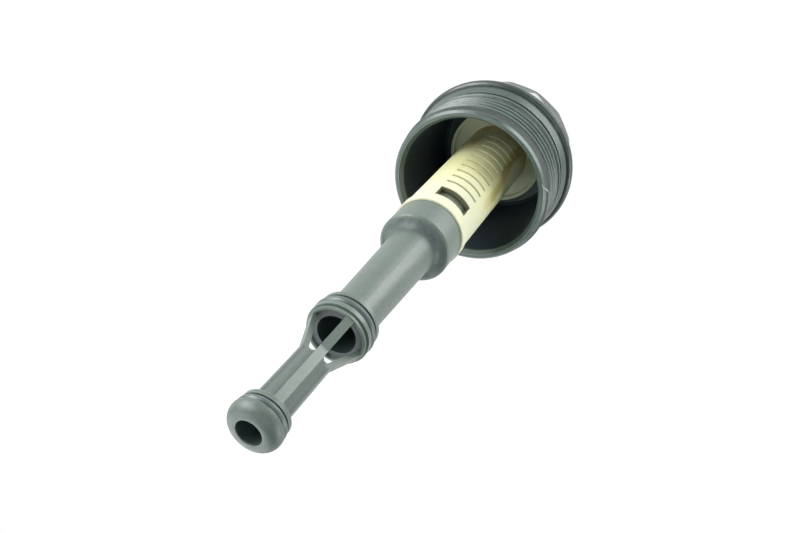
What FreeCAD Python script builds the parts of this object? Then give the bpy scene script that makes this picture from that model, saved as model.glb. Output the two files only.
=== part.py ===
import FreeCAD, Part
import os
import Sketcher

# Oil filter housing cap with its clipped-in valve cage and standpipe
#
# The cap stands on its fluted crown. The origin is the centre of the crown's rest face,
# +Z runs up the axis from the crown through the mouth to the nose of the standpipe.
# All sizes are millimetres.

# Driving sizes: alias, value, meaning
SIZES = [
    # screw cap
    ("cap_height", 50.0, "rest face to mouth plane"),
    ("crown_round_r", 30.4, "round that the fluted crown is cut from"),
    ("crown_flat_r", 29.9, "centre to one flat of the wrench flutes"),
    ("crown_depth", 14.5, "height of the wrench flutes"),
    ("crown_bevel", 1.0, "bevel round the rest face"),
    ("flute_count", 15, "flats round the crown"),
    ("dish_r", 21.0, "shallow dish in the rest face"),
    ("dish_depth", 1.2, "depth of the dish"),
    ("dish_slope", 1.2, "width of the sloping edge of the dish"),
    ("back_flange_r", 34.3, "flange behind the seal groove"),
    ("back_flange_slope", 2.2, "height of the cone under the back flange"),
    ("back_flange_t", 1.8, "thickness of the back flange at its edge"),
    ("seal_groove_w", 4.9, "width of the seal groove"),
    ("seal_floor_r", 32.0, "floor of the seal groove"),
    ("front_flange_r", 34.1, "flange in front of the seal groove"),
    ("front_flange_t", 1.4, "thickness of the front flange at its edge"),
    ("front_flange_slope", 2.4, "height of the sloping face of the front flange"),
    ("front_flange_top_r", 32.9, "upper edge of the sloping face"),
    ("relief_r", 31.7, "thread relief"),
    ("relief_w", 1.9, "width of the thread relief"),
    ("ridge_r", 33.1, "ridge between relief and thread"),
    ("ridge_w", 1.2, "width of the ridge"),
    ("ridge_slope", 0.5, "run-out of the ridge"),
    ("pilot_r", 32.2, "thread core and plain lead-in land"),
    ("pilot_bevel", 0.9, "outer bevel of the mouth"),
    ("thread_depth", 0.8, "core to the crest of the screw thread"),
    ("thread_pitch", 3.0, "pitch of the screw thread"),
    ("thread_turns", 4.1, "turns of the screw thread"),
    ("thread_root_w", 1.9, "width of a thread turn at the core"),
    ("thread_crest_w", 0.6, "width of a thread turn at its crest"),
    ("thread_drop", 3.7, "mouth plane to the middle of the uppermost turn at its start"),
    ("thread_start", -95.0, "start of the thread at the mouth, degrees from +X"),
    ("mouth_wall", 3.4, "wall between the mouth's bore and the thread core"),
    ("mouth_bevel_w", 1.3, "width of the inner bevel of the mouth"),
    ("mouth_bevel_t", 1.9, "depth of the inner bevel of the mouth"),
    ("cup_r", 26.8, "inside of the tapered cup at its foot"),
    ("cup_bevel", 1.5, "bevel at the foot of the cup wall"),
    ("floor_t", 4.0, "rest face to cup floor"),
    # snap socket and clearance
    ("gap", 0.3, "clearance of parts that move past each other"),
    ("fit", 0.05, "clearance of parts that are pressed or welded together"),
    ("socket_wall", 2.3, "wall of the snap socket"),
    ("socket_rise", 4.7, "height of the snap socket above the floor"),
    ("lip_t", 1.4, "height of the lip of the socket"),
    ("lip_bevel", 0.5, "lead-in bevel of the lip"),
    ("finger_r", 9.9, "outside of the snap fingers"),
    ("finger_wall", 1.9, "thickness of the snap fingers"),
    ("barb", 0.9, "reach of the barb of a finger"),
    ("barb_t", 0.8, "height of the straight part of the barb"),
    ("finger_foot", 1.0, "finger ends to the cup floor"),
    ("finger_slot", 3.0, "slot between two fingers"),
    ("finger_count", 4, "snap fingers"),
    # valve cage
    ("disc_r", 20.8, "disc that carries the filter element"),
    ("disc_t", 2.2, "thickness of the disc"),
    ("disc_rim_w", 1.4, "width of the raised rim"),
    ("disc_rim_t", 1.7, "height of the raised rim"),
    ("cage_foot_r", 13.7, "cage tube at the disc"),
    ("cage_neck_r", 13.1, "cage tube under the shoulder"),
    ("cage_bore_r", 11.2, "bore of the cage"),
    ("cage_length", 80.9, "disc top to cage top"),
    ("shoulder_r", 13.6, "shoulder ring round the cage top"),
    ("shoulder_t", 4.2, "height of the shoulder ring"),
    ("shoulder_bevel", 0.7, "bevel under the shoulder ring"),
    ("window_arc", 61.0, "arc of a window and of a slit, degrees"),
    ("window_turn", -41.0, "middle of the first window, degrees from +X"),
    ("window_t", 7.0, "height of the windows"),
    ("window_drop", 6.1, "cage top to the upper edge of the windows"),
    ("slit_drop", 18.5, "cage top to the middle of the uppermost slit"),
    ("slit_pitch", 5.4, "spacing of the slits"),
    ("slit_t", 1.45, "height of a slit"),
    ("slit_count", 10, "slits in one row"),
    ("ledge_drop", 56.0, "cage top to the spring ledge"),
    ("ledge_t", 2.0, "thickness of the spring ledge"),
    ("ledge_hole_r", 4.0, "hole in the spring ledge"),
    ("window_count", 2, "windows, and rows of slits, round the cage"),
    # plunger and spring
    ("plunger_wall", 1.8, "wall of the plunger"),
    ("plunger_length", 17.0, "length of the plunger"),
    ("plunger_round", 1.6, "rounding of the domed end"),
    ("plunger_bore_slope", 2.4, "cone at the closed end of the plunger's bore"),
    ("wire_r", 0.6, "radius of the spring wire"),
    ("spring_play", 0.5, "radial play of the spring inside the plunger"),
    ("spring_turns", 8.5, "turns of the spring"),
    # standpipe
    ("plug_t", 5.2, "length of the plug inside the cage"),
    ("collar_r", 13.0, "collar of the standpipe"),
    ("collar_t", 12.4, "height of the collar"),
    ("collar_slope", 1.4, "height of the sloping face on the collar"),
    ("collar_round", 1.2, "rounding of the collar edge"),
    ("tube_foot_r", 8.8, "tube at the collar"),
    ("tube_end_r", 7.6, "tube at the end ring"),
    ("tube_length", 47.0, "collar face to the end ring"),
    ("tube_fillet", 3.6, "fillet between collar and tube"),
    ("bore_r", 6.3, "bore of the standpipe"),
    ("ring_back_r", 9.9, "rear flange of the end ring"),
    ("ring_back_t", 1.6, "thickness of the rear flange"),
    ("ring_groove_w", 3.9, "width of the ring groove"),
    ("ring_groove_r", 7.4, "floor of the ring groove"),
    ("ring_front_r", 10.2, "front flange of the end ring"),
    ("ring_front_t", 1.6, "thickness of the front flange"),
    ("ring_neck_t", 0.5, "width of the fine groove before the rim"),
    ("ring_rim_r", 9.6, "rim of the end ring"),
    ("ring_rim_t", 0.9, "height of the rim"),
    ("ring_rim_w", 0.7, "width of the rim"),
    ("leg_count", 4, "legs between end ring and stem"),
    ("leg_turn", -45.0, "first leg, degrees from +X"),
    ("leg_w", 2.8, "width of a leg"),
    ("leg_foot_r", 9.3, "outside of a leg at the end ring"),
    ("leg_inner_r", 7.8, "inside of a leg at the end ring"),
    ("leg_foot_t", 0.3, "straight foot of a leg above the ring face"),
    ("leg_rise", 11.9, "end ring face to the foot of the stem"),
    ("crotch_r", 3.4, "inside of a leg at the foot of the stem"),
    ("arch_r", 2.7, "round of the arches between the legs"),
    ("rib_r", 5.35, "ribs of the stem"),
    ("stem_r", 4.6, "core of the stem"),
    ("stem_length", 24.7, "foot of the stem to the nose flange"),
    ("nose_back_r", 7.3, "rear flange of the nose"),
    ("nose_back_t", 1.4, "thickness of the rear flange"),
    ("nose_groove_w", 2.8, "width of the nose groove"),
    ("nose_groove_r", 5.2, "floor of the nose groove"),
    ("nose_r", 7.85, "nose"),
    ("nose_t", 3.8, "length of the nose in front of its groove"),
    ("nose_round", 3.3, "rounding of the nose"),
    ("hole_r", 3.9, "core hole in the nose"),
    ("hole_neck_r", 2.9, "core hole inside the stem"),
    ("hole_depth", 25.0, "depth of the core hole"),
    ("hole_wide_depth", 9.0, "depth of the wide part of the core hole"),
    ("hole_cone", 3.0, "height of the cone between the two parts of the hole"),
    # seal rings
    ("cap_ring_r", 2.0, "section of the cap's seal ring"),
    ("pipe_ring_r", 1.45, "section of the pipe's seal ring"),
    ("nose_ring_r", 1.2, "section of the nose's seal ring"),
]

# Levels and radii that follow from the driving sizes
LEVELS = [
    ("dish_edge_r", "dish_r + dish_slope"),
    ("flat_cut_r", "crown_round_r + 1"),
    ("flat_cut_w", "2 * crown_flat_r * tan(180 / flute_count)"),
    ("crown_face_r", "crown_round_r - crown_bevel"),
    ("back_flange_z", "crown_depth + back_flange_slope"),
    ("groove_base_z", "back_flange_z + back_flange_t"),
    ("groove_top_z", "groove_base_z + seal_groove_w"),
    ("front_flange_z", "groove_top_z + front_flange_t"),
    ("front_slope_z", "front_flange_z + front_flange_slope"),
    ("relief_top_z", "front_slope_z + relief_w"),
    ("ridge_base_z", "relief_top_z + ridge_slope"),
    ("ridge_top_z", "ridge_base_z + ridge_w"),
    ("core_base_z", "ridge_top_z + ridge_slope"),
    ("pilot_edge_z", "cap_height - pilot_bevel"),
    ("mouth_r", "pilot_r - mouth_wall"),
    ("pilot_edge_r", "pilot_r - pilot_bevel"),
    ("mouth_edge_r", "mouth_r + mouth_bevel_w"),
    ("mouth_edge_z", "cap_height - mouth_bevel_t"),
    ("thread_r", "pilot_r + thread_depth"),
    ("thread_rise", "thread_pitch * thread_turns"),
    ("thread_base_z", "cap_height - thread_drop - thread_rise"),
    ("thread_sink_r", "pilot_r - fit"),
    ("thread_root_low_z", "thread_base_z - thread_root_w / 2"),
    ("thread_root_top_z", "thread_base_z + thread_root_w / 2"),
    ("thread_crest_low_z", "thread_base_z - thread_crest_w / 2"),
    ("thread_crest_top_z", "thread_base_z + thread_crest_w / 2"),
    ("cup_foot_r", "cup_r - cup_bevel"),
    ("cup_foot_z", "floor_t + cup_bevel"),
    ("lip_r", "finger_r + gap"),
    ("socket_bore_r", "finger_r + barb + gap"),
    ("socket_r", "socket_bore_r + socket_wall"),
    ("socket_top_z", "floor_t + socket_rise"),
    ("lip_edge_r", "lip_r + lip_bevel"),
    ("lip_edge_z", "socket_top_z - lip_bevel"),
    ("lip_base_z", "socket_top_z - lip_t"),
    ("finger_base_z", "floor_t + finger_foot"),
    ("finger_bore_r", "finger_r - finger_wall"),
    ("barb_r", "finger_r + barb"),
    ("barb_top_z", "lip_base_z - gap"),
    ("barb_low_z", "barb_top_z - barb_t"),
    ("disc_base_z", "socket_top_z + gap"),
    ("disc_top_z", "disc_base_z + disc_t"),
    ("disc_rim_z", "disc_top_z + disc_rim_t"),
    ("disc_rim_r", "disc_r - disc_rim_w"),
    ("cage_top_z", "disc_top_z + cage_length"),
    ("shoulder_base_z", "cage_top_z - shoulder_t"),
    ("shoulder_low_z", "shoulder_base_z - shoulder_bevel"),
    ("ledge_top_z", "cage_top_z - ledge_drop"),
    ("ledge_base_z", "ledge_top_z - ledge_t"),
    ("throat_z", "disc_top_z + cage_bore_r - finger_bore_r"),
    ("cut_in_r", "cage_bore_r - 1"),
    ("cut_out_r", "shoulder_r + 1"),
    ("window_top_z", "cage_top_z - window_drop"),
    ("window_low_z", "window_top_z - window_t"),
    ("slot_out_r", "(disc_r + barb_r) / 2"),
    ("slot_low_z", "finger_base_z - 1"),
    ("slot_top_z", "disc_base_z"),
    ("seat_z", "cage_top_z - plug_t"),
    ("plunger_r", "cage_bore_r - gap"),
    ("plunger_top_z", "seat_z - gap"),
    ("plunger_base_z", "plunger_top_z - plunger_length"),
    ("plunger_bore_r", "plunger_r - plunger_wall"),
    ("plunger_roof_z", "plunger_top_z - plunger_wall"),
    ("plunger_cone_z", "plunger_roof_z - plunger_bore_slope"),
    ("plunger_roof_r", "plunger_bore_r - plunger_bore_slope"),
    ("coil_r", "min(plunger_bore_r - spring_play; plunger_roof_r) - wire_r"),
    ("spring_base_z", "ledge_top_z + wire_r + fit"),
    ("spring_rise", "plunger_roof_z - fit - wire_r - spring_base_z"),
    ("plug_r", "cage_bore_r - fit"),
    ("collar_top_z", "cage_top_z + collar_t"),
    ("tube_foot_z", "collar_top_z + collar_slope"),
    ("ring_back_z", "tube_foot_z + tube_length"),
    ("ring_groove_z", "ring_back_z + ring_back_t"),
    ("ring_front_z", "ring_groove_z + ring_groove_w"),
    ("ring_neck_z", "ring_front_z + ring_front_t"),
    ("ring_rim_z", "ring_neck_z + ring_neck_t"),
    ("ring_top_z", "ring_rim_z + ring_rim_t"),
    ("ring_neck_r", "ring_rim_r - ring_neck_t"),
    ("ring_lip_r", "ring_rim_r - ring_rim_w"),
    ("ring_face_z", "ring_top_z - ring_rim_w"),
    ("ring_face_r", "ring_lip_r - ring_rim_w"),
    ("leg_root_z", "(ring_front_z + ring_neck_z) / 2"),
    ("leg_foot_z", "ring_face_z + leg_foot_t"),
    ("stem_z", "ring_face_z + leg_rise"),
    ("arch_reach", "stem_r + 1"),
    ("nose_back_z", "stem_z + stem_length"),
    ("nose_groove_z", "nose_back_z + nose_back_t"),
    ("nose_front_z", "nose_groove_z + nose_groove_w"),
    ("nose_top_z", "nose_front_z + nose_t"),
    ("hole_wide_z", "nose_top_z - hole_wide_depth"),
    ("hole_neck_z", "hole_wide_z - hole_cone"),
    ("hole_end_z", "nose_top_z - hole_depth"),
    ("hole_out_z", "nose_top_z + 1"),
    ("cap_ring_mid_r", "seal_floor_r + cap_ring_r + fit"),
    ("cap_ring_z", "groove_base_z + seal_groove_w / 2"),
    ("pipe_ring_mid_r", "ring_groove_r + pipe_ring_r + fit"),
    ("pipe_ring_z", "ring_groove_z + ring_groove_w / 2"),
    ("nose_ring_mid_r", "nose_groove_r + nose_ring_r + fit"),
    ("nose_ring_z", "nose_groove_z + nose_groove_w / 2"),
]

# One row of slits, from the uppermost down
SLIT_COUNT = int(dict((alias, value) for alias, value, meaning in SIZES)["slit_count"])
for step in range(SLIT_COUNT):
    LEVELS.append((f"slit_top_{step}", f"cage_top_z - slit_drop - {step} * slit_pitch + slit_t / 2"))
    LEVELS.append((f"slit_low_{step}", f"slit_top_{step} - slit_t"))

doc = FreeCAD.newDocument("oil_filter_housing_cap")
sheet = doc.addObject("Spreadsheet::Sheet", "Sizes")


def fill_sheet():
    """Write the driving sizes as numbers and the levels as formulas, each with its alias."""
    for row, (alias, value, meaning) in enumerate(SIZES, start=1):
        sheet.set(f"A{row}", meaning)
        sheet.set(f"B{row}", str(value))
        sheet.setAlias(f"B{row}", alias)
    for row, (alias, formula) in enumerate(LEVELS, start=1):
        sheet.set(f"D{row}", "=" + formula)
        sheet.setAlias(f"D{row}", alias)
    doc.recompute()


def number(alias):
    """Value of one cell of the sheet."""
    return float(sheet.get(alias))


def origin_part(body, role):
    """Plane or axis of a body's own origin."""
    return next(item for item in body.Origin.OriginFeatures if item.Role == role)


def new_body(label):
    """Empty body with its label."""
    body = doc.addObject("PartDesign::Body", label)
    body.Label = label
    return body


def new_sketch(body, name):
    """Sketch on the body's XZ plane: across is the distance from the axis, up is the level."""
    sketch = body.newObject("Sketcher::SketchObject", name)
    sketch.AttachmentSupport = [(origin_part(body, "XZ_Plane"), "")]
    sketch.MapMode = "FlatFace"
    return sketch


def swing_sketch(sketch, formula):
    """Turn a sketch's plane about the axis by a formula in degrees."""
    sketch.AttachmentOffset = FreeCAD.Placement(
        FreeCAD.Vector(0, 0, 0), FreeCAD.Rotation(FreeCAD.Vector(0, 1, 0), 1)
    )
    sketch.setExpression("AttachmentOffset.Rotation.Angle", formula)
    doc.recompute()


def place(alias):
    """Coordinate behind an alias, with 0 for the axis or the rest plane."""
    return 0.0 if alias == 0 else number(alias)


def pin_point(sketch, geometry, end, across, up, tag):
    """Fix a point of a line or circle at two sizes of the sheet."""
    bound = [(across, "DistanceX", "across", -2), (up, "DistanceY", "up", -1)]
    for alias, kind, word, axis in bound:
        if alias == 0:
            sketch.addConstraint(Sketcher.Constraint("PointOnObject", geometry, end, axis))
            continue
        index = sketch.addConstraint(Sketcher.Constraint(kind, geometry, end, number(alias)))
        name = f"{word}_{tag}"
        sketch.renameConstraint(index, name)
        sketch.setExpression(f"Constraints.{name}", f"Sizes.{alias}")


def add_loop(sketch, corners, tag):
    """Closed outline of straight lines through corners of (across, up)."""
    spots = [FreeCAD.Vector(place(across), place(up), 0) for across, up in corners]
    following = spots[1:] + spots[:1]
    lines = [sketch.addGeometry(Part.LineSegment(*ends)) for ends in zip(spots, following)]
    for line, after in zip(lines, lines[1:] + lines[:1]):
        sketch.addConstraint(Sketcher.Constraint("Coincident", line, 2, after, 1))
    for index, (line, (across, up)) in enumerate(zip(lines, corners)):
        pin_point(sketch, line, 1, across, up, f"{tag}_{index}")


def outline(body, name, *loops):
    """Sketch of one or more closed outlines."""
    sketch = new_sketch(body, name)
    for index, corners in enumerate(loops):
        add_loop(sketch, corners, f"{index}")
    return sketch


def round_outline(body, name, across, up, radius):
    """Sketch of one circle with its centre and radius from the sheet."""
    sketch = new_sketch(body, name)
    middle = FreeCAD.Vector(place(across), place(up), 0)
    circle = sketch.addGeometry(Part.Circle(middle, FreeCAD.Vector(0, 0, 1), number(radius)))
    pin_point(sketch, circle, 3, across, up, "round")
    size = sketch.addConstraint(Sketcher.Constraint("Radius", circle, number(radius)))
    sketch.renameConstraint(size, "radius")
    sketch.setExpression("Constraints.radius", f"Sizes.{radius}")
    return sketch


def block(inner, outer, low, top):
    """Corners of a rectangle between two radii and two levels."""
    return [(inner, low), (outer, low), (outer, top), (inner, top)]


def turn(body, kind, name, sketch):
    """Full turn of an outline about the axis, added (Revolution) or taken away (Groove)."""
    feature = body.newObject(f"PartDesign::{kind}", name)
    feature.Profile = sketch
    feature.ReferenceAxis = (sketch, ["V_Axis"])
    feature.Angle = 360
    doc.recompute()
    return feature


def band(body, kind, name, sketch, width):
    """Outline added (Pad) or taken away (Pocket) with its width shared to both sides."""
    feature = body.newObject(f"PartDesign::{kind}", name)
    feature.Profile = sketch
    feature.Midplane = True
    feature.setExpression("Length", f"Sizes.{width}")
    doc.recompute()
    return feature


def wind(body, name, sketch, rise, turns):
    """Outline wound upwards about the axis as a right-hand helix."""
    feature = body.newObject("PartDesign::AdditiveHelix", name)
    feature.Profile = sketch
    feature.ReferenceAxis = (sketch, ["V_Axis"])
    feature.Mode = "height-turns-angle"
    feature.setExpression("Height", f"Sizes.{rise}")
    feature.setExpression("Turns", f"Sizes.{turns}")
    doc.recompute()
    return feature


def ring_of(body, name, features, count):
    """Polar pattern of features about the axis."""
    pattern = body.newObject("PartDesign::PolarPattern", name)
    pattern.Originals = features
    pattern.Axis = (origin_part(body, "Z_Axis"), [""])
    pattern.Angle = 360
    pattern.setExpression("Occurrences", f"Sizes.{count}")
    body.Tip = pattern
    doc.recompute()
    return pattern


def circle_edges(shape, radius, level):
    """Names of the round edges of a radius at a level."""
    names = []
    for index, edge in enumerate(shape.Edges, start=1):
        curve = edge.Curve
        if not isinstance(curve, Part.Circle):
            continue
        if abs(curve.Radius - radius) < 1e-4 and abs(curve.Center.z - level) < 1e-4:
            names.append(f"Edge{index}")
    return names


def round_edge(body, name, base, radius_alias, level_alias, size):
    """Fillet on the round edge at a radius and level."""
    names = circle_edges(base.Shape, number(radius_alias), number(level_alias))
    if not names:
        raise RuntimeError(f"{name}: no edge to round")
    fillet = body.newObject("PartDesign::Fillet", name)
    fillet.Base = (base, names)
    fillet.setExpression("Radius", f"Sizes.{size}")
    doc.recompute()
    return fillet


def must_shrink(name, before, after):
    """Stop if a cut took nothing away."""
    if not after.Shape.Volume < before - 1e-3:
        raise RuntimeError(f"{name}: the cut took nothing away")


def turn_about_axis(body, alias):
    """Turn a body about the axis by an angle of the sheet."""
    spin = FreeCAD.Rotation(FreeCAD.Vector(0, 0, 1), number(alias))
    body.Placement = FreeCAD.Placement(FreeCAD.Vector(0, 0, 0), spin)


def make_cap_body():
    """Screw cap: fluted crown, seal groove, thread core with lead-in land, cup and snap socket."""
    body = new_body("cap_body")
    profile = [
        (0, "dish_depth"),
        ("dish_r", "dish_depth"),
        ("dish_edge_r", 0),
        ("crown_face_r", 0),
        ("crown_round_r", "crown_bevel"),
        ("crown_round_r", "crown_depth"),
        ("back_flange_r", "back_flange_z"),
        ("back_flange_r", "groove_base_z"),
        ("seal_floor_r", "groove_base_z"),
        ("seal_floor_r", "groove_top_z"),
        ("front_flange_r", "groove_top_z"),
        ("front_flange_r", "front_flange_z"),
        ("front_flange_top_r", "front_slope_z"),
        ("relief_r", "front_slope_z"),
        ("relief_r", "relief_top_z"),
        ("ridge_r", "ridge_base_z"),
        ("ridge_r", "ridge_top_z"),
        ("pilot_r", "core_base_z"),
        ("pilot_r", "pilot_edge_z"),
        ("pilot_edge_r", "cap_height"),
        ("mouth_edge_r", "cap_height"),
        ("mouth_r", "mouth_edge_z"),
        ("cup_r", "cup_foot_z"),
        ("cup_foot_r", "floor_t"),
        ("socket_r", "floor_t"),
        ("socket_r", "socket_top_z"),
        ("lip_edge_r", "socket_top_z"),
        ("lip_r", "lip_edge_z"),
        ("lip_r", "lip_base_z"),
        ("socket_bore_r", "lip_base_z"),
        ("socket_bore_r", "floor_t"),
        (0, "floor_t"),
    ]
    cup = turn(body, "Revolution", "cup", outline(body, "cup_profile", profile))
    flat_outline = outline(body, "flat_profile", block("crown_flat_r", "flat_cut_r", 0, "crown_depth"))
    flat = band(body, "Pocket", "flat", flat_outline, "flat_cut_w")
    must_shrink("flat", cup.Shape.Volume, flat)
    ring_of(body, "flats", [flat], "flute_count")
    ridge = [
        ("thread_sink_r", "thread_root_low_z"),
        ("pilot_r", "thread_root_low_z"),
        ("thread_r", "thread_crest_low_z"),
        ("thread_r", "thread_crest_top_z"),
        ("pilot_r", "thread_root_top_z"),
        ("thread_sink_r", "thread_root_top_z"),
    ]
    ridge_outline = outline(body, "thread_profile", ridge)
    swing_sketch(ridge_outline, "Sizes.thread_start - 360 * Sizes.thread_turns")
    wind(body, "thread", ridge_outline, "thread_rise", "thread_turns")
    return body


def make_seal_ring(label, middle, section, level):
    """Rubber ring that lies in its groove."""
    ring = doc.addObject("Part::Torus", label)
    ring.Label = label
    ring.setExpression("Radius1", f"Sizes.{middle}")
    ring.setExpression("Radius2", f"Sizes.{section}")
    ring.setExpression(".Placement.Base.z", f"Sizes.{level}")
    return ring


def make_valve_cage():
    """Cage: disc with raised rim, snap fingers, slotted tube with windows and spring ledge."""
    body = new_body("valve_cage")
    profile = [
        ("finger_bore_r", "finger_base_z"),
        ("finger_r", "finger_base_z"),
        ("barb_r", "barb_low_z"),
        ("barb_r", "barb_top_z"),
        ("finger_r", "barb_top_z"),
        ("finger_r", "disc_base_z"),
        ("disc_r", "disc_base_z"),
        ("disc_r", "disc_rim_z"),
        ("disc_rim_r", "disc_rim_z"),
        ("disc_rim_r", "disc_top_z"),
        ("cage_foot_r", "disc_top_z"),
        ("cage_neck_r", "shoulder_low_z"),
        ("shoulder_r", "shoulder_base_z"),
        ("shoulder_r", "cage_top_z"),
        ("cage_bore_r", "cage_top_z"),
        ("cage_bore_r", "ledge_top_z"),
        ("ledge_hole_r", "ledge_top_z"),
        ("ledge_hole_r", "ledge_base_z"),
        ("cage_bore_r", "ledge_base_z"),
        ("cage_bore_r", "throat_z"),
        ("finger_bore_r", "disc_top_z"),
    ]
    tube = turn(body, "Revolution", "tube", outline(body, "tube_profile", profile))
    openings = [block("cut_in_r", "cut_out_r", "window_low_z", "window_top_z")]
    for step in range(SLIT_COUNT):
        openings.append(block("cut_in_r", "cut_out_r", f"slit_low_{step}", f"slit_top_{step}"))
    row = body.newObject("PartDesign::Groove", "window_row")
    row.Profile = outline(body, "window_profile", *openings)
    row.ReferenceAxis = (row.Profile[0], ["V_Axis"])
    row.Midplane = True
    row.setExpression("Angle", "Sizes.window_arc")
    doc.recompute()
    must_shrink("window_row", tube.Shape.Volume, row)
    rows = ring_of(body, "window_rows", [row], "window_count")
    slot_outline = outline(body, "slot_profile", block(0, "slot_out_r", "slot_low_z", "slot_top_z"))
    slot = band(body, "Pocket", "finger_gap", slot_outline, "finger_slot")
    must_shrink("finger_gap", rows.Shape.Volume, slot)
    ring_of(body, "finger_gaps", [slot], "finger_count")
    turn_about_axis(body, "window_turn")
    return body


def make_valve_plunger():
    """Domed plunger, open towards its spring."""
    body = new_body("valve_plunger")
    profile = [
        ("plunger_bore_r", "plunger_base_z"),
        ("plunger_r", "plunger_base_z"),
        ("plunger_r", "plunger_top_z"),
        (0, "plunger_top_z"),
        (0, "plunger_roof_z"),
        ("plunger_roof_r", "plunger_roof_z"),
        ("plunger_bore_r", "plunger_cone_z"),
    ]
    shell = turn(body, "Revolution", "shell", outline(body, "shell_profile", profile))
    round_edge(body, "dome", shell, "plunger_r", "plunger_top_z", "plunger_round")
    return body


def make_valve_spring():
    """Compression spring between the ledge of the cage and the roof of the plunger."""
    body = new_body("valve_spring")
    sketch = round_outline(body, "wire_profile", "coil_r", "spring_base_z", "wire_r")
    wind(body, "coil", sketch, "spring_rise", "spring_turns")
    return body


def make_standpipe():
    """Standpipe: plug, collar, tapered tube, grooved end ring, four legs, ribbed stem and nose."""
    body = new_body("standpipe")
    pipe_profile = [
        ("bore_r", "seat_z"),
        ("plug_r", "seat_z"),
        ("plug_r", "cage_top_z"),
        ("collar_r", "cage_top_z"),
        ("collar_r", "collar_top_z"),
        ("tube_foot_r", "tube_foot_z"),
        ("tube_end_r", "ring_back_z"),
        ("ring_back_r", "ring_back_z"),
        ("ring_back_r", "ring_groove_z"),
        ("ring_groove_r", "ring_groove_z"),
        ("ring_groove_r", "ring_front_z"),
        ("ring_front_r", "ring_front_z"),
        ("ring_front_r", "ring_neck_z"),
        ("ring_neck_r", "ring_neck_z"),
        ("ring_rim_r", "ring_rim_z"),
        ("ring_rim_r", "ring_top_z"),
        ("ring_lip_r", "ring_top_z"),
        ("ring_face_r", "ring_face_z"),
        ("bore_r", "ring_face_z"),
    ]
    pipe = turn(body, "Revolution", "pipe", outline(body, "pipe_profile", pipe_profile))
    collar = round_edge(body, "collar_edge", pipe, "collar_r", "collar_top_z", "collar_round")
    round_edge(body, "collar_fillet", collar, "tube_foot_r", "tube_foot_z", "tube_fillet")
    nose_profile = [
        (0, "stem_z"),
        ("stem_r", "stem_z"),
        ("stem_r", "nose_back_z"),
        ("nose_back_r", "nose_back_z"),
        ("nose_back_r", "nose_groove_z"),
        ("nose_groove_r", "nose_groove_z"),
        ("nose_groove_r", "nose_front_z"),
        ("nose_r", "nose_front_z"),
        ("nose_r", "nose_top_z"),
        (0, "nose_top_z"),
    ]
    nose = turn(body, "Revolution", "nose", outline(body, "nose_profile", nose_profile))
    arch = body.newObject("PartDesign::Pocket", "arch")
    arch.Profile = round_outline(body, "arch_profile", 0, "stem_z", "arch_r")
    swing_sketch(arch.Profile[0], "180 / Sizes.leg_count - 90")
    arch.setExpression("Length", "Sizes.arch_reach")
    doc.recompute()
    must_shrink("arch", nose.Shape.Volume, arch)
    ring_of(body, "arches", [arch], "leg_count")
    leg_profile = [
        ("leg_inner_r", "leg_root_z"),
        ("leg_foot_r", "leg_root_z"),
        ("leg_foot_r", "leg_foot_z"),
        ("rib_r", "stem_z"),
        ("rib_r", "nose_back_z"),
        (0, "nose_back_z"),
        (0, "stem_z"),
        ("crotch_r", "stem_z"),
        ("leg_inner_r", "ring_face_z"),
    ]
    leg = band(body, "Pad", "leg", outline(body, "leg_profile", leg_profile), "leg_w")
    legs = ring_of(body, "legs", [leg], "leg_count")
    dome = round_edge(body, "nose_dome", legs, "nose_r", "nose_top_z", "nose_round")
    hole_profile = [
        (0, "hole_end_z"),
        ("hole_neck_r", "hole_end_z"),
        ("hole_neck_r", "hole_neck_z"),
        ("hole_r", "hole_wide_z"),
        ("hole_r", "hole_out_z"),
        (0, "hole_out_z"),
    ]
    hole = turn(body, "Groove", "core_hole", outline(body, "hole_profile", hole_profile))
    must_shrink("core_hole", dome.Shape.Volume, hole)
    turn_about_axis(body, "leg_turn")
    return body


def check(pieces):
    """Stop if an object failed or a piece has no sound shape."""
    for item in doc.Objects:
        if "Invalid" in item.State or "Error" in item.State:
            raise RuntimeError(f"{item.Label}: failed with {item.State}")
    for piece in pieces:
        if piece.Shape.isNull() or not piece.Shape.isValid() or not piece.Shape.Solids:
            raise RuntimeError(f"{piece.Label}: no sound solid")


fill_sheet()
parts = [
    make_cap_body(),
    make_seal_ring("cap_seal_ring", "cap_ring_mid_r", "cap_ring_r", "cap_ring_z"),
    make_valve_cage(),
    make_valve_plunger(),
    make_valve_spring(),
    make_standpipe(),
    make_seal_ring("pipe_seal_ring", "pipe_ring_mid_r", "pipe_ring_r", "pipe_ring_z"),
    make_seal_ring("nose_seal_ring", "nose_ring_mid_r", "nose_ring_r", "nose_ring_z"),
]
doc.recompute()
check(parts)
os.makedirs("parts", exist_ok=True)
for part in parts:
    part.Shape.exportStep(f"parts/{part.Label}.step")
    print(f"{part.Label}: {len(part.Shape.Solids)} solid, {part.Shape.Volume:.1f} cubic mm")
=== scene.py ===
"""Looks of the oil filter housing cap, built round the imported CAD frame.

The CAD nodes keep their shape and get their finishes here. The low slanting edge
at the start of the cap's thread is a piece of this file. Shapes, lamps and camera
are in metres, in the CAD frame. What is painted on a surface is placed in
millimetres and in degrees from +X, about the cap's axis.
"""

from __future__ import annotations

import logging
import math
from collections.abc import Iterable
from dataclasses import dataclass, replace
from enum import Enum
from functools import reduce

import bmesh
import bpy
from mathutils import Euler, Matrix, Vector


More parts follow.
